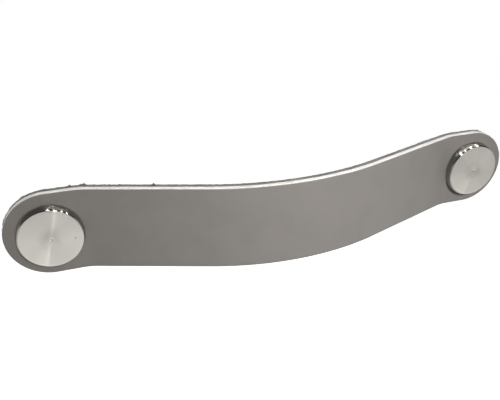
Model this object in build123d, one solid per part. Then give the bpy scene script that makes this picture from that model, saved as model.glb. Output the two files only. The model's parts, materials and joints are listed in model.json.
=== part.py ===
from build123d import *
import math
import os

# Leather drawer pull: a two-ply strap bowed out between two turned steel knobs.
# Millimetres. +X runs along the strap, +Z is up, and the front faces -Y.
# The drawer front is the plane y = 0, and the origin lies midway between the two fixing holes.

# Strap
hole_spacing = 160.0  # centre to centre of the fixing holes
strap_width = 29.5
face_ply = 1.9  # smooth front leather, with its pale core showing at the cut edge
backing_ply = 1.7  # coarse dark leather glued behind it
face_edge_round = 0.45  # rubbed edge of the front face
back_edge_round = 0.15

# Bow of the strap's back face, in plan: flat end, shoulder arc, straight slope, crown arc, and back again
bow_height = 19.0
flat_end = 8.0  # flat leather from each hole's centre inwards, held down by the knob
shoulder_radius = 18.0
slope_length = 39.0

# Knob
knob_diameter = 21.0
knob_height = 3.3  # from the leather's face to the knob's face
knob_bite = 0.15  # how deep the tightened knob presses into the flat leather
bite_clearance = 0.1  # all round, between the knob's wall and the dent that it presses
knob_edge_chamfer = 0.4
knob_foot_chamfer = 0.15
stem_diameter = 7.0
stem_clearance = 0.1  # all round, between the stem and the punched hole
centre_mark_diameter = 1.3  # left by the lathe's centre
centre_mark_depth = 0.35

# Thread in each knob, drilled for M4
tap_drill_diameter = 3.3
thread_depth = 4.6
drill_point_angle = 118.0
mouth_chamfer = 0.35

strap_thickness = face_ply + backing_ply
strap_length = hole_spacing + strap_width  # the round ends are struck from the holes' centres
tip = strap_length / 2
half_bow = hole_spacing / 2 - flat_end
hole_places = {"left": -hole_spacing / 2, "right": hole_spacing / 2}
knob_seat = strap_thickness - knob_bite  # the underside of the knob's head
knob_face = strap_thickness + knob_height

# The slope touches both arcs, whose centres lie on opposite sides of the strap
both_radii = (half_bow**2 + bow_height**2 - slope_length**2) / (2 * bow_height)
crown_radius = both_radii - shoulder_radius
slope_angle = math.degrees(
    math.atan2(half_bow, both_radii - bow_height) - math.atan2(slope_length, both_radii)
)


def side_line(depth):
    """The strap's line from tip to tip, seen from above, at a depth in front of its back face."""
    lines = [Line((-tip, -depth), (-half_bow, -depth))]

    def bend(radius, angle):
        lines.append(JernArc(lines[-1] @ 1, lines[-1] % 1, radius, angle))

    def run_straight():
        lines.append(Line(lines[-1] @ 1, lines[-1] @ 1 + slope_length * (lines[-1] % 1)))

    bend(shoulder_radius - depth, -slope_angle)
    run_straight()
    bend(crown_radius + depth, 2 * slope_angle)
    run_straight()
    bend(shoulder_radius - depth, -slope_angle)
    lines.append(Line(lines[-1] @ 1, (tip, -depth)))
    return lines


def outline_edges(ply, facing):
    """The edges round the cut outline of a ply's front face (facing -1) or back face (facing 1)."""
    broad_faces = [face for face in ply.faces() if face.normal_at().Y * facing > 0.5]
    edges = [edge for face in broad_faces for edge in face.outer_wire().edges()]
    return [edge for edge in edges if edge.geom_type != GeomType.LINE or abs((edge % 0.5).Z) < 0.5]


def bowed_ply(back, front, facing, edge_round):
    """One ply of the strap between two depths, cut to its outline, edged on one side and punched."""
    ends = [Line((x, -back), (x, -front)) for x in (-tip, tip)]
    section = make_face(side_line(back) + side_line(front) + ends)
    ply = Pos(0, 0, -strap_width / 2) * extrude(section, strap_width)
    ply &= extrude(Plane.XZ * SlotOverall(strap_length, strap_width), bow_height + 2 * strap_thickness)
    ply = fillet(outline_edges(ply, facing), edge_round)
    punch = extrude(Plane.XZ * Circle(stem_diameter / 2 + stem_clearance), strap_thickness, both=True)
    return ply - [Pos(x, 0, 0) * punch for x in hole_places.values()]


def make_backing_leather():
    """The coarse ply that lies against the drawer front."""
    return bowed_ply(0, backing_ply, 1, back_edge_round)


def make_face_leather():
    """The smooth ply, with a dent where each knob is tightened into it."""
    ply = bowed_ply(backing_ply, strap_thickness, -1, face_edge_round)
    dent = extrude(Plane.XZ.offset(knob_seat) * Circle(knob_diameter / 2 + bite_clearance), knob_height)
    return ply - [Pos(x, 0, 0) * dent for x in hole_places.values()]


def make_knob():
    """Turned head and stem in one piece, with a blind tapped hole from the drawer's side."""
    stem, head, mark = stem_diameter / 2, knob_diameter / 2, centre_mark_diameter / 2
    bore = tap_drill_diameter / 2
    drill_tip = thread_depth + bore / math.tan(math.radians(drill_point_angle / 2))
    half_section = [
        (bore + mouth_chamfer, 0),
        (stem, 0),
        (stem, knob_seat),
        (head - knob_foot_chamfer, knob_seat),
        (head, knob_seat + knob_foot_chamfer),
        (head, knob_face - knob_edge_chamfer),
        (head - knob_edge_chamfer, knob_face),
        (mark, knob_face),
        (0, knob_face - centre_mark_depth),
        (0, drill_tip),
        (bore, thread_depth),
        (bore, mouth_chamfer),
    ]
    section = make_face(Polyline(*[(radius, -depth) for radius, depth in half_section], close=True))
    return revolve(section, Axis.Y)


pieces = {"face_leather": make_face_leather(), "backing_leather": make_backing_leather()}
for side, x in hole_places.items():
    pieces[f"{side}_knob"] = Pos(x, 0, 0) * make_knob()

os.makedirs("parts", exist_ok=True)
for name, piece in pieces.items():
    export_step(piece, f"parts/{name}.step")
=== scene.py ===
import json
import math

import bmesh
import bpy
from mathutils import Matrix, Vector


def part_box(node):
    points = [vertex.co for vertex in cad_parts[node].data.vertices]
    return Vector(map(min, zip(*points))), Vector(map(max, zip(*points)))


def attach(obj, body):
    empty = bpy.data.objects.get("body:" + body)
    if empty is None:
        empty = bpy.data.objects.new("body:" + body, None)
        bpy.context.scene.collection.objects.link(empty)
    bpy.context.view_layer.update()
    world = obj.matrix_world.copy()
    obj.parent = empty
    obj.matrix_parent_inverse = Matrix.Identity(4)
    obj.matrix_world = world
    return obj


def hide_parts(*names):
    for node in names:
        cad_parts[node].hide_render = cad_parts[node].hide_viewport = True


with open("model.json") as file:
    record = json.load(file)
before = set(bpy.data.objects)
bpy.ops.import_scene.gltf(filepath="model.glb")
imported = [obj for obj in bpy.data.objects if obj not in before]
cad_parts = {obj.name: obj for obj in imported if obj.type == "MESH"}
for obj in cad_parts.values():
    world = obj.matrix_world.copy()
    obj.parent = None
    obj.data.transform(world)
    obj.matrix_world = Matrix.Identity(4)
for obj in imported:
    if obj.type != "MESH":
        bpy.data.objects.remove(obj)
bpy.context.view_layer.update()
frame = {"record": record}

# Backing leather
# The rear ply: coarse dark leather with its loose, fibrous side out, cut with round ends struck from the
# fixing holes and punched for the knobs' stems. The knobs hold its flat ends against the drawer front.
mm = 0.001
hole_spacing = 160 * mm
strap_width = 29.5 * mm
backing_ply = 1.7 * mm
bow_height = 19 * mm
flat_end = 8 * mm
shoulder_radius = 18 * mm
slope_length = 39 * mm
punched_radius = 3.6 * mm
backing_edge_round = 0.15 * mm
knob_radius = 10.5 * mm

# The bow's halves: crown arc, straight slope and shoulder arc, as they touch one another
half_width = strap_width / 2
half_bow = hole_spacing / 2 - flat_end
both_radii = (half_bow**2 + bow_height**2 - slope_length**2) / (2 * bow_height)
crown_radius = both_radii - shoulder_radius
slope_angle = math.atan2(half_bow, both_radii - bow_height) - math.atan2(slope_length, both_radii)
half_run = (crown_radius + shoulder_radius) * slope_angle + slope_length
hole_run = half_run + flat_end

# A flat ply is laid out as (run, depth, across): run goes along the strap's back face from its middle, and
# depth goes from the back face to the front. Its faces are fans round the two holes and a plain middle.
eighth_steps = 20
eighth_turn = math.pi / 4
row_spacing = 0.6 * mm
rings_under_knob = 5
rings_at_lip = 9
lip_ring_spacing = 0.25 * mm
squaring_steps = 4
fan_angles = [eighth_turn * step / eighth_steps for step in range(-4 * eighth_steps, 4 * eighth_steps + 1)]
outer_angles = fan_angles[eighth_steps:-eighth_steps]
middle_angles = fan_angles[3 * eighth_steps:-3 * eighth_steps]
width_under_knob = knob_radius - punched_radius
ring_radii = [punched_radius + width_under_knob * ring / rings_under_knob for ring in range(rings_under_knob)]
ring_radii += [knob_radius + lip_ring_spacing * ring for ring in range(rings_at_lip)]
middle_run = hole_run - half_width
row_count = round(2 * middle_run / row_spacing)
middle_rows = [middle_run * (2 * row / row_count - 1) for row in range(row_count + 1)]


def fan_edge(angle, inset):
    """From a hole's centre to its fan's edge, at an angle from the tip: round outside, squared off inside."""
    turn, reach = abs(angle), half_width - inset
    if turn <= 2 * eighth_turn:
        along, across = reach * math.cos(turn), reach * math.sin(turn)
    elif turn <= 3 * eighth_turn:
        along, across = half_width / math.tan(turn), reach
    else:
        along, across = -half_width, -reach * math.tan(turn)
    return Vector((along, math.copysign(across, angle)))


def fan_rows(inset):
    """Rings round a hole that start as circles and end on the fan's edge."""
    circles = [[radius * Vector((math.cos(a), math.sin(a))) for a in fan_angles] for radius in ring_radii]
    edge = [fan_edge(angle, inset) for angle in fan_angles]
    squared = [
        [inner.lerp(outer, step / squaring_steps) for inner, outer in zip(circles[-1], edge)]
        for step in range(1, squaring_steps + 1)
    ]
    return circles + squared


def outline(inset):
    """The cut outline of a ply, as one closed loop of (run, across)."""
    end = [fan_edge(angle, inset) + Vector((hole_run, 0)) for angle in outer_angles]
    upper = [Vector((run, half_width - inset)) for run in reversed(middle_rows[1:-1])]
    half = end + upper
    return half + [-point for point in half] + half[:1]


def lay(bm, rows, share_cut):
    """Joins neighbouring rows of (run, depth, across) with faces, and notes how far each row is cut."""
    cut = bm.verts.layers.float["cut"]
    laid = []
    for row, share in zip(rows, share_cut):
        laid.append([bm.verts.new(point) for point in row])
        for vert in laid[-1]:
            vert[cut] = share
    for near, far in zip(laid, laid[1:]):
        for a, b, c, d in zip(near, near[1:], far[1:], far):
            bm.faces.new((a, b, c, d))


def place_in_scene(name, data):
    """A new object at the origin."""
    placed = bpy.data.objects.new(name, data)
    bpy.context.scene.collection.objects.link(placed)
    return placed


def finish_piece(name, bm, merge_distance):
    """Closes a mesh's seams, turns its faces outwards and places it as a smooth piece."""
    bmesh.ops.remove_doubles(bm, verts=bm.verts, dist=merge_distance)
    bmesh.ops.recalc_face_normals(bm, faces=bm.faces)
    for face in bm.faces:
        face.smooth = True
    mesh = bpy.data.meshes.new(name)
    bm.to_mesh(mesh)
    bm.free()
    return place_in_scene(name, mesh)


def flat_ply(name, rim, depth_of_face):
    """A ply with both faces, the cut edge that rim describes as (inset, depth, cut) and two punched holes."""
    bm = bmesh.new()
    bm.verts.layers.float.new("cut")
    back_depth = rim[-1][1]
    for inset, depth_at in ((rim[0][0], depth_of_face), (rim[-1][0], lambda from_hole: back_depth)):
        fan = fan_rows(inset)
        for side in (-1, 1):
            rows = [[(side * (hole_run + p.x), depth_at(p.length), p.y) for p in row] for row in fan]
            lay(bm, rows, [0] * len(rows))
        reach, depth = half_width - inset, depth_at(half_width)
        rows = [[(run, depth, reach * math.tan(angle)) for angle in middle_angles] for run in middle_rows]
        lay(bm, rows, [0] * len(rows))
    rows = [[(p.x, depth, p.y) for p in outline(inset)] for inset, depth, share in rim]
    lay(bm, rows, [share for inset, depth, share in rim])
    hole = fan_rows(0)[0]
    for side in (-1, 1):
        depths = (depth_of_face(punched_radius), back_depth)
        rows = [[(side * (hole_run + p.x), depth, p.y) for p in hole] for depth in depths]
        lay(bm, rows, [0, 0])
    return finish_piece(name, bm, merge_distance=0.001 * mm)


def put(tree, kind, feeds=None, **options):
    """Adds a node, sets its options and feeds its inputs, by name or place, with values or outputs."""
    node = tree.nodes.new(kind)
    for option, value in options.items():
        setattr(node, option, value)
    for socket, feed in (feeds or {}).items():
        feed = feed.socket if isinstance(feed, Figure) else feed
        if isinstance(feed, bpy.types.NodeSocket):
            tree.links.new(feed, node.inputs[socket])
        else:
            node.inputs[socket].default_value = feed
    return node


class Figure:
    """A number inside a node tree, so that a rule reads there as it would on paper."""

    def __init__(self, socket):
        self.socket = socket

    def work(self, operation, *others):
        feeds = dict(enumerate((self, *others)))
        return Figure(put(self.socket.id_data, "ShaderNodeMath", feeds, operation=operation).outputs[0])

    def __add__(self, other):
        return self.work("ADD", other)

    def __sub__(self, other):
        return self.work("SUBTRACT", other)

    def __mul__(self, other):
        return self.work("MULTIPLY", other)

    def __truediv__(self, other):
        return self.work("DIVIDE", other)

    def absolute(self):
        return self.work("ABSOLUTE")

    def inverse(self):
        return self.work("POWER", -1)

    def sine(self):
        return self.work("SINE")

    def cosine(self):
        return self.work("COSINE")

    def between(self, low, high):
        return self.work("MAXIMUM", low).work("MINIMUM", high)

    def rise(self, low, high):
        """0 up to low and 1 from high, smoothly. It falls where low is the higher of the two."""
        feeds = {"Value": self, "From Min": low, "From Max": high}
        node = put(self.socket.id_data, "ShaderNodeMapRange", feeds, interpolation_type="SMOOTHSTEP")
        return Figure(node.outputs[0])


def distance(tree, place, other):
    """How far a place is from another."""
    feeds = {0: place, 1: other}
    return Figure(put(tree, "ShaderNodeVectorMath", feeds, operation="DISTANCE").outputs["Value"])


def scaled(tree, vector, scale):
    """A vector made longer or shorter."""
    return put(tree, "ShaderNodeVectorMath", {0: vector, "Scale": scale}, operation="SCALE").outputs[0]


def coordinate(tree, place, axis):
    """One coordinate of a place."""
    return Figure(put(tree, "ShaderNodeSeparateXYZ", {0: place}).outputs[axis])


def tree_with(name, kind, inputs, outputs):
    """A new node tree, its inputs by name as figures or sockets, and its output node."""
    tree = bpy.data.node_groups.new(name, kind)
    for direction, sockets in (("INPUT", inputs), ("OUTPUT", outputs)):
        for socket, form in sockets.items():
            tree.interface.new_socket(socket, in_out=direction, socket_type="NodeSocket" + form)
    given = tree.nodes.new("NodeGroupInput").outputs
    feeds = {s: Figure(given[s]) if inputs[s] == "Float" else given[s] for s in inputs}
    return tree, feeds, tree.nodes.new("NodeGroupOutput")


def make_bow_tree():
    """Bends a flat ply to the bow, then frays its cut edge, as fibres that were cut through stand proud."""
    sizes = (
        "Crown Radius", "Slope Angle", "Slope Length", "Shoulder Radius", "Bow Height",
        "Fray Depth", "Fray Size", "Rough Ends",
    )
    inputs = {"Geometry": "Geometry", **dict.fromkeys(sizes, "Float"), "Material": "Material"}
    tree, given, out = tree_with("bowed ply", "GeometryNodeTree", inputs, {"Geometry": "Geometry"})
    crown, angle, slope, shoulder = (given[size] for size in sizes[:4])
    flat = put(tree, "ShaderNodeSeparateXYZ", {0: put(tree, "GeometryNodeInputPosition").outputs[0]}).outputs
    run, depth = Figure(flat["X"]), Figure(flat["Y"])
    side, run = run.work("SIGN"), run.absolute()

    # How far each stretch of the bow has been followed, and how far it has turned the strap
    crown_run, shoulder_run = crown * angle, shoulder * angle
    on_crown = run.between(0, crown_run) / crown
    on_slope = (run - crown_run).between(0, slope)
    on_shoulder = (run - crown_run - slope).between(0, shoulder_run) / shoulder
    on_flat = (run - crown_run - slope - shoulder_run).work("MAXIMUM", 0)
    turned, left_to_turn = on_crown - on_shoulder, angle - on_shoulder

    along = crown * on_crown.sine() + on_slope * angle.cosine() + on_flat
    along = along + shoulder * (angle.sine() - left_to_turn.sine()) + depth * turned.sine()
    back = crown - crown * on_crown.cosine() + on_slope * angle.sine() - given["Bow Height"]
    back = back + shoulder * (left_to_turn.cosine() - angle.cosine()) - depth * turned.cosine()
    bowed = put(tree, "ShaderNodeCombineXYZ", {0: along * side, 1: back, 2: flat["Z"]}).outputs[0]
    bent = put(tree, "GeometryNodeSetPosition", {"Geometry": given["Geometry"], "Position": bowed}).outputs[0]
    # The layout counts depth against the frame's Y, so its faces are turned over
    bent = put(tree, "GeometryNodeFlipFaces", {"Mesh": bent}).outputs[0]

    # The fray gets rougher from a little past half way to the holes
    rough_from, rough_to = 0.55 * hole_run, 0.7 * hole_run
    place = put(tree, "GeometryNodeInputPosition").outputs[0]
    feeds = {"Vector": place, "Scale": given["Fray Size"].inverse(), "Detail": 3.0}
    noise = Figure(put(tree, "ShaderNodeTexNoise", feeds).outputs[0])
    cut = Figure(put(tree, "GeometryNodeInputNamedAttribute", {"Name": "cut"}).outputs["Attribute"])
    roughening = coordinate(tree, place, "X").absolute().rise(rough_from, rough_to)
    fray = given["Fray Depth"] * (roughening * given["Rough Ends"] + 1)
    proud = (noise - 0.5) * fray * cut.between(0, 1)
    push = scaled(tree, put(tree, "GeometryNodeInputNormal").outputs[0], proud)
    frayed = put(tree, "GeometryNodeSetPosition", {"Geometry": bent, "Offset": push}).outputs[0]
    whole = put(tree, "GeometryNodeRealizeInstances", {"Geometry": frayed}).outputs[0]
    finish = put(tree, "GeometryNodeSetMaterial", {"Geometry": whole, "Material": given["Material"]})
    tree.links.new(finish.outputs[0], out.inputs[0])
    return tree


def grow(piece, tree, **settings):
    """Runs a tree on a piece with its named inputs set, and leaves the result as the piece's plain mesh."""
    modifier = piece.modifiers.new(tree.name, "NODES")
    modifier.node_group = tree
    for item in tree.interface.items_tree:
        key = item.name.replace(" ", "_").lower()
        if item.in_out == "INPUT" and key in settings:
            modifier[item.identifier] = settings[key]
    bpy.context.view_layer.update()
    seen = bpy.context.evaluated_depsgraph_get()
    evaluated = piece.evaluated_get(seen)
    grown = bpy.data.meshes.new_from_object(evaluated, preserve_all_data_layers=True, depsgraph=seen)
    piece.modifiers.clear()
    piece.data = grown
    grown.name = piece.name


def make_grain_group():
    """Leather's own marks: slow clouds of tone, and fine cells with creases between them as a height."""
    inputs = {"Vector": "Vector", "Cloud Size": "Float", "Cell Size": "Float"}
    outputs = {"Cloud": "Float", "Cells": "Float"}
    group, given, out = tree_with("leather grain", "ShaderNodeTree", inputs, outputs)
    feeds = {"Vector": given["Vector"], "Scale": given["Cloud Size"].inverse(), "Detail": 4.0}
    cloud = Figure(put(group, "ShaderNodeTexNoise", feeds).outputs[0]).rise(0.3, 0.7)
    feeds = {"Vector": given["Vector"], "Scale": given["Cell Size"].inverse()}
    crease = put(group, "ShaderNodeTexVoronoi", feeds, feature="DISTANCE_TO_EDGE").outputs[0]
    pores = Figure(put(group, "ShaderNodeTexNoise", feeds | {"Detail": 2.0}).outputs[0])
    cells = Figure(crease).rise(0.0, 0.25) * 0.6 + pores * 0.4
    group.links.new(cloud.socket, out.inputs["Cloud"])
    group.links.new(cells.socket, out.inputs["Cells"])
    return group


def make_fibre_group():
    """Leather that was cut or split: matted fibres as a height, and sparse flecks where a bundle shows."""
    inputs = {"Vector": "Vector", "Fibre Size": "Float", "Fleck Share": "Float"}
    outputs = {"Matting": "Float", "Flecks": "Float"}
    group, given, out = tree_with("cut fibres", "ShaderNodeTree", inputs, outputs)
    fineness = given["Fibre Size"].inverse()
    feeds = {"Vector": given["Vector"], "Scale": fineness, "Detail": 5.0}
    matting = put(group, "ShaderNodeTexNoise", feeds | {"Roughness": 0.65, "Distortion": 1.2})
    feeds = {"Vector": given["Vector"], "Scale": fineness * 0.45, "Detail": 1.0}
    spots = Figure(put(group, "ShaderNodeTexNoise", feeds).outputs[0])
    share = given["Fleck Share"]
    flecks = (spots * -1 + 1).rise(share * -0.5 + 0.72, share * -0.5 + 0.8)
    group.links.new(matting.outputs[0], out.inputs["Matting"])
    group.links.new(flecks.socket, out.inputs["Flecks"])
    return group


def place_group(tree, group, **feeds):
    """Places a group in a tree, its inputs fed by name, and gives its outputs by name as figures."""
    feeds = {name.replace("_", " ").title(): feed for name, feed in feeds.items()}
    outputs = put(tree, "ShaderNodeGroup", feeds, node_tree=group).outputs
    return {output.name: Figure(output) for output in outputs}


def new_material(name, constants):
    """A material with its Principled shader, whose constants stand on its own sockets."""
    material = bpy.data.materials.new(name)
    material.use_nodes = True
    shader = material.node_tree.nodes["Principled BSDF"]
    for socket, value in constants.items():
        shader.inputs[socket].default_value = value
    return material, material.node_tree, shader


def mix_colour(tree, share, first, second):
    """Between two colours, each a value or an output."""
    return put(tree, "ShaderNodeMix", {0: share, 6: first, 7: second}, data_type="RGBA").outputs[2]


def times(share, colour):
    """A colour made brighter or darker."""
    return (*(share * part for part in colour[:3]), 1)


slot_colour = {slot["slot"]: (*slot["base_color"], 1) for slot in frame["record"]["materials"]}
grain_group = make_grain_group()
fibre_group = make_fibre_group()


def make_backing_material():
    """Dark flesh-side leather: mottled, matt, matted all over, a little greyer where it was cut."""
    dark = slot_colour["backing_leather"]
    worn = times(1.5, dark)
    loose_bundle = (0.2, 0.19, 0.175, 1)
    material, tree, shader = new_material(
        "coarse dark leather", {"Roughness": 0.95, "Specular IOR Level": 0.3, "Sheen Weight": 0.15}
    )
    place = put(tree, "ShaderNodeTexCoord").outputs["Object"]
    grain = place_group(tree, grain_group, vector=place, cloud_size=3.5 * mm, cell_size=0.8 * mm)
    fibres = place_group(tree, fibre_group, vector=place, fibre_size=0.5 * mm, fleck_share=0.3)
    cut = Figure(put(tree, "ShaderNodeAttribute", attribute_name="cut").outputs["Fac"])
    tone = grain["Cloud"] * 0.6 + fibres["Matting"] * 0.5 + cut * 0.45
    colour = mix_colour(tree, tone.between(0, 1), dark, worn)
    colour = mix_colour(tree, fibres["Flecks"] * 0.4, colour, loose_bundle)
    relief = fibres["Matting"] + grain["Cells"] * 0.3
    bump = put(tree, "ShaderNodeBump", {"Height": relief, "Distance": 0.25 * mm, "Strength": 0.9})
    tree.links.new(colour, shader.inputs["Base Color"])
    tree.links.new(bump.outputs[0], shader.inputs["Normal"])
    return material


# The rim goes from the front face back, square at first, and then round to the rear face
backing_round_steps = 3
backing_rim = [(0, backing_ply, 0)] + [(0, share * backing_ply, 1) for share in (0.85, 0.6, 0.35)]
for step in range(backing_round_steps + 1):
    angle = math.pi / 2 * step / backing_round_steps
    inset, depth = backing_edge_round * (1 - math.cos(angle)), backing_edge_round * (1 - math.sin(angle))
    backing_rim.append((inset, depth, 1 - step / backing_round_steps))

bow_tree = make_bow_tree()
bow_sizes = dict(
    crown_radius=crown_radius, slope_angle=slope_angle, slope_length=slope_length,
    shoulder_radius=shoulder_radius, bow_height=bow_height,
)
backing_material = make_backing_material()
backing = flat_ply("backing_strap", backing_rim, lambda from_hole: backing_ply)
grow(
    backing, bow_tree, **bow_sizes, fray_depth=0.5 * mm, fray_size=1.0 * mm, rough_ends=1.6,
    material=backing_material,
)
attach(backing, "root")
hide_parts("backing_leather")

# Face leather
# The front ply: smooth grey finished leather over a pale core, which shows where the edge was cut.
# It is glued to the backing, bowed with it, and dented where each knob is tightened down.
face_ply = 1.9 * mm
strap_thickness = backing_ply + face_ply
face_edge_round = 0.45 * mm
glue_line = 0.15 * mm
knob_bite = 0.15 * mm
lip_width = 0.7 * mm


def face_depth(from_hole):
    """The front face's depth: dented in under the knob, with a soft lip round it."""
    out = min(max((from_hole - knob_radius) / lip_width, 0), 1)
    return strap_thickness - knob_bite * (1 - out) ** 2


def make_face_material():
    """Grey finish with a barely visible grain, over a pale raw core with darker flecks at the cut edge."""
    grey = slot_colour["face_leather"]
    lighter_grey = (0.237, 0.216, 0.197, 1)
    painted_knob_shade_grey = (0.07, 0.066, 0.06, 1)
    pale_core, duller_core = (0.84, 0.82, 0.78, 1), (0.7, 0.675, 0.63, 1)
    core_fleck = (0.3, 0.28, 0.26, 1)
    material, tree, shader = new_material("smooth grey leather", {"Specular IOR Level": 0.4})
    place = put(tree, "ShaderNodeTexCoord").outputs["Object"]
    grain = place_group(tree, grain_group, vector=place, cloud_size=9 * mm, cell_size=0.45 * mm)
    fibres = place_group(tree, fibre_group, vector=place, fibre_size=0.35 * mm, fleck_share=0.15)
    cells, matting = grain["Cells"], fibres["Matting"]
    cut = Figure(put(tree, "ShaderNodeAttribute", attribute_name="cut").outputs["Fac"])

    finish = mix_colour(tree, grain["Cloud"] * 0.6 + cells * 0.3, grey, lighter_grey)
    # Painted shade: a dark ring on the leather just round each knob's foot, where the knob shades it.
    off_hole = coordinate(tree, place, "X").absolute() - hole_spacing / 2
    up = coordinate(tree, place, "Z")
    from_hole = (off_hole * off_hole + up * up).work("SQRT")
    knob_shade_ring = from_hole.rise(knob_radius + lip_width, knob_radius)
    finish = mix_colour(tree, knob_shade_ring * 0.6, finish, painted_knob_shade_grey)

    # The cut's share is 0 on the finish, 1 on the core and 2 at the glue
    core = mix_colour(tree, matting, pale_core, duller_core)
    core = mix_colour(tree, fibres["Flecks"] * 0.6, core, core_fleck)
    glued = (cut + (matting - 0.5) * 0.6).rise(1.3, 1.7)
    core = mix_colour(tree, glued, core, slot_colour["backing_leather"])
    bare = (cut + (matting - 0.5) * 0.5).rise(0.45, 0.7)
    colour = mix_colour(tree, bare, finish, core)

    rough = cells * 0.08 + 0.42 + bare * 0.45
    relief = cells * (bare * -1 + 1) * 0.12 + matting * bare
    bump = put(tree, "ShaderNodeBump", {"Height": relief, "Distance": 0.12 * mm, "Strength": 0.7})
    tree.links.new(colour, shader.inputs["Base Color"])
    tree.links.new(rough.socket, shader.inputs["Roughness"])
    tree.links.new(bump.outputs[0], shader.inputs["Normal"])
    return material


# The rim goes round from the front face, where the finish gives way to the core, and then back to the glue
face_round_steps, finish_steps = 5, 4
face_rim = []
for step in range(face_round_steps + 1):
    angle = math.pi / 2 * step / face_round_steps
    inset, sunk = face_edge_round * (1 - math.sin(angle)), face_edge_round * (1 - math.cos(angle))
    face_rim.append((inset, strap_thickness - sunk, min(1, step / finish_steps)))
for share in (0.75, 0.5, 0.25):
    face_rim.append((0, backing_ply + share * (face_ply - face_edge_round), 1))
face_rim += [(0, backing_ply + 2 * glue_line, 1), (0, backing_ply, 2)]
face = flat_ply("face_strap", face_rim, face_depth)
grow(face, bow_tree, **bow_sizes, fray_depth=0.12 * mm, fray_size=1.1 * mm, material=make_face_material())
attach(face, "root")
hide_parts("face_leather")

# Loose fibres
# Short ends of leather fibre that stand out of the backing's cut edge, thickest in three small tufts.
# They are part of the ply, and too fine to be cut with it.
fibre_length = 0.7 * mm
fibre_width = 0.08 * mm
fibres_per_square_metre = 3.5e6
tuft_radius = 0.45 * mm
tuft_places = [(x * mm, y * mm, half_width) for x, y in ((-71.8, -0.35), (-67.3, -0.97), (-45.9, -8.52))]


def make_fibre_tree():
    """Scatters thin tapered fibres over the cut edge of a ply, in patches and in tufts."""
    tuft_density, least_density = 90, 0.08
    widest_tilt, tuft_tilt = 0.9, 0.15
    shortest, longest = 0.3, 1.0
    curl_size = 0.7 * mm
    sizes = ("Length", "Width", "Density", "Patch Size")
    inputs = {"Geometry": "Geometry", **dict.fromkeys(sizes, "Float"), "Seed": "Int", "Material": "Material"}
    tree, given, out = tree_with("loose fibres", "GeometryNodeTree", inputs, {"Geometry": "Geometry"})
    place = put(tree, "GeometryNodeInputPosition").outputs[0]
    feeds = {"Vector": place, "Scale": given["Patch Size"].inverse(), "Detail": 1.0}
    patches = Figure(put(tree, "ShaderNodeTexNoise", feeds).outputs[0]).rise(0.45, 0.75)
    cut = Figure(put(tree, "GeometryNodeInputNamedAttribute", {"Name": "cut"}).outputs["Attribute"])
    off_tufts = distance(tree, place, tuft_places[0])
    for tuft in tuft_places[1:]:
        off_tufts = off_tufts.work("MINIMUM", distance(tree, place, tuft))
    in_tuft, near_tuft = off_tufts.rise(tuft_radius, tuft_radius / 3), off_tufts.rise(2 * tuft_radius, 0)
    density = given["Density"] * (patches + near_tuft * tuft_density + least_density) * cut.rise(0.2, 0.8)
    feeds = {"Mesh": given["Geometry"], "Density": density, "Seed": given["Seed"]}
    roots = put(tree, "GeometryNodeDistributePointsOnFaces", feeds)

    # One fibre, of length and width 1, that tapers to its tip
    along = Figure(put(tree, "GeometryNodeSplineParameter").outputs["Factor"])
    line = put(tree, "GeometryNodeCurvePrimitiveLine", {"End": (0, 0, 1)}).outputs[0]
    line = put(tree, "GeometryNodeResampleCurve", {"Curve": line, "Count": 5}).outputs[0]
    feeds = {"Geometry": line, "Name": "along", "Value": along}
    line = put(tree, "GeometryNodeStoreNamedAttribute", feeds).outputs[0]
    section = put(tree, "GeometryNodeCurvePrimitiveCircle", {"Resolution": 3, "Radius": 0.5}).outputs[0]
    feeds = {"Curve": line, "Profile Curve": section, "Scale": along * -0.75 + 1, "Fill Caps": True}
    fibre = put(tree, "GeometryNodeCurveToMesh", feeds).outputs[0]

    # Each leans its own way, and has its own length. Those in a tuft stand up straighter and longer.
    feeds = {0: (-widest_tilt,) * 3, 1: (widest_tilt,) * 3}
    tilt = put(tree, "FunctionNodeRandomValue", feeds, data_type="FLOAT_VECTOR").outputs[0]
    tilt = scaled(tree, tilt, in_tuft * (tuft_tilt - 1) + 1)
    lean = put(tree, "ShaderNodeVectorMath", {0: roots.outputs["Normal"], 1: tilt}).outputs[0]
    turn = put(tree, "FunctionNodeAlignRotationToVector", {"Vector": lean}, axis="Z").outputs[0]
    feeds = {2: shortest, 3: longest, "Seed": 5}
    spread = Figure(put(tree, "FunctionNodeRandomValue", feeds).outputs[1])
    reach = spread * spread * (near_tuft * -0.6 + 0.7)
    reach = reach.work("MAXIMUM", (spread * 0.4 + 0.6) * in_tuft) * given["Length"]
    size = put(tree, "ShaderNodeCombineXYZ", {0: given["Width"], 1: given["Width"], 2: reach}).outputs[0]
    feeds = {"Points": roots.outputs[0], "Instance": fibre, "Rotation": turn, "Scale": size}
    whole = put(tree, "GeometryNodeInstanceOnPoints", feeds).outputs[0]
    whole = put(tree, "GeometryNodeRealizeInstances", {"Geometry": whole}).outputs[0]

    # Each fibre curls more towards its end
    place = put(tree, "GeometryNodeInputPosition").outputs[0]
    drift = put(tree, "ShaderNodeTexNoise", {"Vector": place, "Scale": 1 / curl_size}).outputs[1]
    drift = put(tree, "ShaderNodeVectorMath", {0: drift, 1: (0.5,) * 3}, operation="SUBTRACT").outputs[0]
    share = Figure(put(tree, "GeometryNodeInputNamedAttribute", {"Name": "along"}).outputs["Attribute"])
    curl = scaled(tree, drift, share * share * given["Length"])
    whole = put(tree, "GeometryNodeSetPosition", {"Geometry": whole, "Offset": curl}).outputs[0]
    finish = put(tree, "GeometryNodeSetMaterial", {"Geometry": whole, "Material": given["Material"]})
    tree.links.new(finish.outputs[0], out.inputs[0])
    return tree


fibres = place_in_scene("loose_fibres", backing.data.copy())
grow(
    fibres, make_fibre_tree(), length=fibre_length, width=fibre_width, density=fibres_per_square_metre,
    patch_size=2.2 * mm, seed=7, material=backing_material,
)
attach(fibres, "root")

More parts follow.
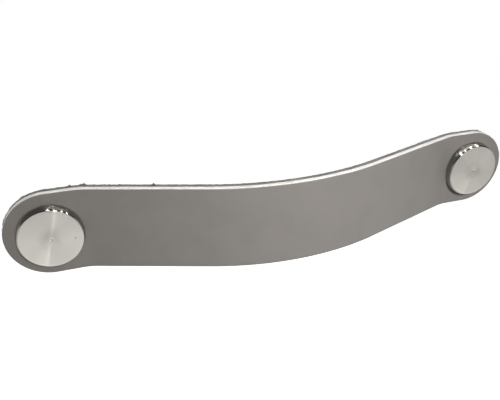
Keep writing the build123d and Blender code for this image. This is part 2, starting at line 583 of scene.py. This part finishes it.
# Knobs
# Each knob is turned from one steel bar: a polished wall, a faced front with the lathe's fine rings and
# centre mark, and a stem that passes through the strap and is tapped for the screw from the drawer's side.
knob_height = 3.3 * mm
knob_edge_chamfer = 0.4 * mm
knob_foot_chamfer = 0.15 * mm
corner_round = 0.1 * mm
crown = 0.15 * mm
stem_radius = 3.5 * mm
centre_mark_radius = 0.65 * mm
centre_mark_depth = 0.35 * mm
thread_radius = 2.0 * mm
thread_pitch = 0.7 * mm
tap_drill_radius = 1.65 * mm
thread_depth = 4.6 * mm
drill_half_angle = math.radians(59)
knob_seat = strap_thickness - knob_bite
knob_face = strap_thickness + knob_height
flat_radius = knob_radius - knob_edge_chamfer
ring_steps = 128
crown_steps = 8
steps_per_pitch = 10
corner_steps = 3
nick_place = (-72.5 * mm, -6.8 * mm, -0.9 * mm)

# Along the profile from the middle of the face, in millimetres: where the face ends, and then the chamfer
face_run = (math.hypot(centre_mark_radius, centre_mark_depth) + flat_radius - centre_mark_radius) / mm
chamfer_run = face_run + math.sqrt(2) * knob_edge_chamfer / mm


def rounded(corners, radius):
    """A line through corners, each but the ends rounded off by a short curve."""
    corners = [Vector(corner) for corner in corners]
    line = [corners[0]]
    for before, corner, after in zip(corners, corners[1:], corners[2:]):
        first = corner + (before - corner).normalized() * min(radius, (before - corner).length / 2)
        last = corner + (after - corner).normalized() * min(radius, (after - corner).length / 2)
        for step in range(corner_steps + 1):
            t = step / corner_steps
            line.append(first.lerp(corner, t).lerp(corner.lerp(last, t), t))
    return line + [corners[-1]]


def knob_profile():
    """(radius, depth) of the knob's outside, from the middle of its face round to the mouth of its hole."""
    shares = [step / crown_steps for step in range(1, crown_steps + 1)]
    corners = [
        (0, knob_face - centre_mark_depth),
        (centre_mark_radius, knob_face),
        *[(flat_radius * share, knob_face - crown * share**2) for share in shares],
        (knob_radius, knob_face - crown - knob_edge_chamfer),
        (knob_radius, knob_seat + knob_foot_chamfer),
        (knob_radius - knob_foot_chamfer, knob_seat),
        (stem_radius, knob_seat),
        (stem_radius, 0),
        (thread_radius, 0),
    ]
    return rounded(corners, corner_round)


def make_knob(name, centre_x, material):
    """Turns the profile about the knob's axis, and cuts the thread's helix into the wall of its hole."""
    bm = bmesh.new()
    turned = bm.loops.layers.uv.new("turned")
    rings = [(radius, depth, 0) for radius, depth in knob_profile()]
    thread_steps = round(thread_depth / thread_pitch * steps_per_pitch)
    for step in range(1, thread_steps + 1):
        depth = thread_depth * step / thread_steps
        cut = min(1, depth / thread_pitch, (thread_depth - depth) / thread_pitch)
        rings.append((tap_drill_radius, depth, cut))
    rings.append((0, thread_depth + tap_drill_radius / math.tan(drill_half_angle), 0))

    def ring_point(ring, step):
        radius, depth, cut = ring
        turn = step / ring_steps
        wave = abs(2 * ((depth / thread_pitch - turn) % 1) - 1)
        radius += cut * wave * (thread_radius - tap_drill_radius)
        angle = 2 * math.pi * turn
        return (centre_x + radius * math.sin(angle), -depth, radius * math.cos(angle))

    run, travelled = 0, [0]
    for near, far in zip(rings, rings[1:]):
        run += math.dist(near[:2], far[:2])
        travelled.append(run)
    laid = [[bm.verts.new(ring_point(ring, step)) for step in range(ring_steps)] for ring in rings]
    for ring in range(len(rings) - 1):
        for step in range(ring_steps):
            corners = [(ring, step), (ring, step + 1), (ring + 1, step + 1), (ring + 1, step)]
            face = bm.faces.new([laid[row][turn % ring_steps] for row, turn in corners])
            for loop, (row, turn) in zip(face.loops, corners):
                loop[turned].uv = (travelled[row] / mm, turn / ring_steps)
    knob = finish_piece(name, bm, merge_distance=0.0005 * mm)
    knob.data.materials.append(material)
    return knob


def make_steel():
    """Turned steel: fine rings that follow the lathe's tool, which stretch every highlight across them."""
    steel = slot_colour["knob_steel"]
    darker_middle = (0.27, 0.26, 0.235, 1)
    painted_fan_highlight = (0.63, 0.61, 0.54, 1)
    mark_grey = (0.48, 0.47, 0.43, 1)
    painted_wall_shade = (0.25, 0.243, 0.225, 1)
    painted_edge_shade = (0.06, 0.058, 0.053, 1)
    nick_dark = (0.1, 0.096, 0.09, 1)
    rings_per_mm = 7.0
    blotch_size = 6 * mm
    nick_inner, nick_outer = 0.15 * mm, 0.4 * mm
    material, tree, shader = new_material("turned steel", {"Metallic": 1.0, "Anisotropic": 1.0})

    # run follows the profile from the middle of the face, in millimetres, and turn goes round from the top
    blend = 0.1
    middle_inner, middle_outer = 1.2, 5.2
    mark_inner, mark_outer = 0.65, 0.85
    fan_inner, fan_outer = 2.0, 6.0
    fan_start, fan_bright, fan_fading, fan_end = 0.53, 0.545, 0.56, 0.66
    followed = put(tree, "ShaderNodeUVMap", uv_map="turned").outputs[0]
    run, turn = coordinate(tree, followed, "X"), coordinate(tree, followed, "Y")
    polished = run.rise(face_run - blend, face_run + blend)
    on_edge = polished * run.rise(chamfer_run + 2 * blend, chamfer_run)
    at_centre = run.rise(middle_outer, middle_inner)
    in_mark = run.rise(mark_outer, mark_inner)
    # Painted highlight: a pale fan on the lower left of each face, where light catches the turned rings.
    fan = turn.rise(fan_start, fan_bright) * turn.rise(fan_end, fan_fading) * run.rise(fan_inner, fan_outer)
    fan = fan * (polished * -1 + 1)
    feeds = {"W": run, "Scale": rings_per_mm, "Detail": 3.0}
    rings = Figure(put(tree, "ShaderNodeTexNoise", feeds, noise_dimensions="1D").outputs[0])
    place = put(tree, "ShaderNodeTexCoord").outputs["Object"]
    feeds = {"Vector": place, "Scale": 1 / blotch_size, "Detail": 3.0}
    blotches = Figure(put(tree, "ShaderNodeTexNoise", feeds).outputs[0])
    in_nick = distance(tree, place, nick_place).rise(nick_outer, nick_inner)

    colour = mix_colour(tree, blotches * 0.6 + rings * 0.4, times(1.05, steel), times(0.93, steel))
    marks = (
        # The middle of each face is made darker, in patches.
        (at_centre * blotches.rise(0.3, 0.6) * 0.45, darker_middle),
        (fan * 0.4, painted_fan_highlight),
        (in_mark * 0.6, mark_grey),
        # Painted shade: the wall's steel is made darker, for the dark things it mirrors.
        (polished * 0.75, painted_wall_shade),
        # Painted shade: the bevel round the face is made darker, for the dark things it mirrors.
        (on_edge * 0.2, painted_edge_shade),
        (in_nick * 0.6, nick_dark),
    )
    for share, mark_colour in marks:
        colour = mix_colour(tree, share, colour, mark_colour)
    rough = rings * 0.08 + 0.2 + polished * 0.04 - on_edge * 0.1
    bump = put(tree, "ShaderNodeBump", {"Height": rings, "Distance": 0.004 * mm, "Strength": 0.5})
    tangent = put(tree, "ShaderNodeTangent", direction_type="UV_MAP", uv_map="turned")
    tree.links.new(colour, shader.inputs["Base Color"])
    tree.links.new(rough.socket, shader.inputs["Roughness"])
    tree.links.new(bump.outputs[0], shader.inputs["Normal"])
    tree.links.new(tangent.outputs[0], shader.inputs["Tangent"])
    return material


def knob_centre(side):
    """Where a knob's axis is along the strap, from its solid."""
    low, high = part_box(f"{side}_knob")
    return (low.x + high.x) / 2


steel = make_steel()
for side in ("left", "right"):
    knob = make_knob(f"{side}_turned_knob", knob_centre(side), steel)
    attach(knob, "root")
    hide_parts(f"{side}_knob")

# The camera
# It looks down at the pull from the front left, as the photograph does.
camera_place = Vector((-64.14, -171.82, 91.06)) * mm
azimuth, elevation, roll = math.radians(-17.22), math.radians(27.07), math.radians(1.01)
focal_length = 39.88

lens = bpy.data.cameras.new("camera")
lens.lens = focal_length
lens.clip_start = 0.01
camera = place_in_scene("camera", lens)
turned = Matrix.Rotation(azimuth, 4, "Z") @ Matrix.Rotation(math.pi / 2 - elevation, 4, "X")
camera.matrix_world = Matrix.Translation(camera_place) @ turned @ Matrix.Rotation(-roll, 4, "Z")
bpy.context.scene.camera = camera
bpy.context.scene.view_settings.view_transform = "Standard"

# The room
# A plain pale floor well below the pull, as under a drawer at work height, in a white room. A key lamp shines
# on the pull from the front, broader lamps above and behind it light its top edge, and rows of small lamps
# hang overhead for the knobs to mirror.
floor_level = -0.45
floor_size = 8.0
room_level = 0.07


def lit_white(tree):
    """1 where the camera looks, or metal mirrors, and 0 where light falls on other things from here."""
    rays = put(tree, "ShaderNodeLightPath").outputs
    looks = Figure(rays["Is Camera Ray"]).work("MAXIMUM", Figure(rays["Is Glossy Ray"]))
    return looks.work("MAXIMUM", Figure(rays["Is Transmission Ray"]))


def seen_in_metal(tree):
    """1 only where metal mirrors."""
    return Figure(put(tree, "ShaderNodeLightPath").outputs["Is Glossy Ray"])


floor_mesh = bpy.data.meshes.new("floor")
half_floor = floor_size / 2
corners = [(x * half_floor, y * half_floor, floor_level) for x, y in ((-1, -1), (1, -1), (1, 1), (-1, 1))]
floor_mesh.from_pydata(corners, [], [(0, 1, 2, 3)])
floor = place_in_scene("floor", floor_mesh)
floor_material, tree, shader = new_material(
    "pale floor", {"Base Color": (0.8, 0.8, 0.8, 1), "Roughness": 0.9, "Emission Color": (1, 1, 1, 1)}
)
# The camera sees an even white floor. In the metal, it is brightest below the pull and fades from there.
floor_white = 0.97
near_gain, fade_depth = 0.3, 0.6
fade_from, fade_to = 0.35, 1.6
below_pull = (0, 0, floor_level)
away = distance(tree, put(tree, "ShaderNodeTexCoord").outputs["Object"], below_pull)
fading = seen_in_metal(tree) * (away.rise(fade_from, fade_to) * -fade_depth + near_gain) + floor_white
tree.links.new((lit_white(tree) * fading).socket, shader.inputs["Emission Strength"])
floor_mesh.materials.append(floor_material)

# In the metal, the room is white at the horizon and dark overhead
dimming = 0.88
dim_height = 0.3
world = bpy.data.worlds.new("white room")
bpy.context.scene.world = world
world.use_nodes = True
tree = world.node_tree
background = tree.nodes["Background"]
background.inputs["Color"].default_value = (1, 1, 1, 1)
height = coordinate(tree, put(tree, "ShaderNodeTexCoord").outputs["Generated"], "Z")
strength = lit_white(tree) * (1 - room_level) + room_level
strength = strength * (seen_in_metal(tree) * height.rise(0.0, dim_height) * -dimming + 1)
tree.links.new(strength.socket, background.inputs["Strength"])


def hang_lamp(name, place, size, level, aim=(0, 0, 0), spread=math.pi, seen=False):
    """A square soft lamp that faces a point of the pull and gives it a level of light there."""
    away = Vector(place) - Vector(aim)
    lamp = bpy.data.lights.new(name, "AREA")
    lamp.size, lamp.spread = size, spread
    narrowing = 1 - spread / 2 / math.tan(spread / 2)
    lamp.energy = level * (math.pi * away.length) ** 2 * narrowing
    holder = place_in_scene(name, lamp)
    holder.location = place
    holder.rotation_euler = away.to_track_quat("Z", "Y").to_euler()
    holder.visible_camera = False
    holder.visible_glossy = seen
    return holder


brightest_spot = Vector((0.015, -0.012, 0))
key_elevation, key_spread = math.radians(35), math.radians(44)
key_distance = 0.5
key_way = Vector((0, -math.cos(key_elevation), math.sin(key_elevation)))
key_place = brightest_spot + key_way * key_distance
hang_lamp("key_lamp", key_place, size=0.07, level=1.5, aim=brightest_spot, spread=key_spread)
hang_lamp("ceiling_lamp", (-0.1, 0.03, 0.3), size=0.2, level=0.26)
hang_lamp("rear_lamp", (-0.2, 0.7, 0.3), size=0.4, level=0.5)

# Each knob mirrors two rows of small lamps of its own, at these clock angles: one in the bevel round its face
# and one that the stretched highlight of its wall catches. The left knob's face shows one lamp more as a thin
# line. Angles are in degrees, and a tilt is how far the steel that mirrors a lamp is turned from the front.
bevel_tilt, glint_level = 45, 0.2
line_clock, line_tilt, line_level = 17, 30, 0.22
knob_lamp_distance, knob_lamp_size, knob_lamp_spread = 0.7, 0.045, math.radians(16)
lamp_rows = (("left", (4, 15, 27, 37), 62, 0.14), ("right", (-41, -30, -15, 0), 70, 1.2))
knob_lamps = [("left", line_clock, line_tilt, line_level)]
for side, clocks, wall_tilt, streak_level in lamp_rows:
    for clock in clocks:
        knob_lamps += [(side, clock, bevel_tilt, glint_level), (side, clock, wall_tilt, streak_level)]
for side, clock, tilt, level in knob_lamps:
    knob_front = Vector((knob_centre(side), -knob_face, 0))
    to_camera = (camera_place - knob_front).normalized()
    turn, lean = math.radians(clock), math.radians(tilt)
    mirror = Vector((math.sin(turn) * math.sin(lean), -math.cos(lean), math.cos(turn) * math.sin(lean)))
    way = 2 * mirror.dot(to_camera) * mirror - to_camera
    lamp = hang_lamp(
        f"{side}_overhead_{clock}_{tilt}", knob_front + way * knob_lamp_distance, knob_lamp_size, level,
        aim=knob_front, spread=knob_lamp_spread, seen=True,
    )
    lamp.visible_diffuse = False
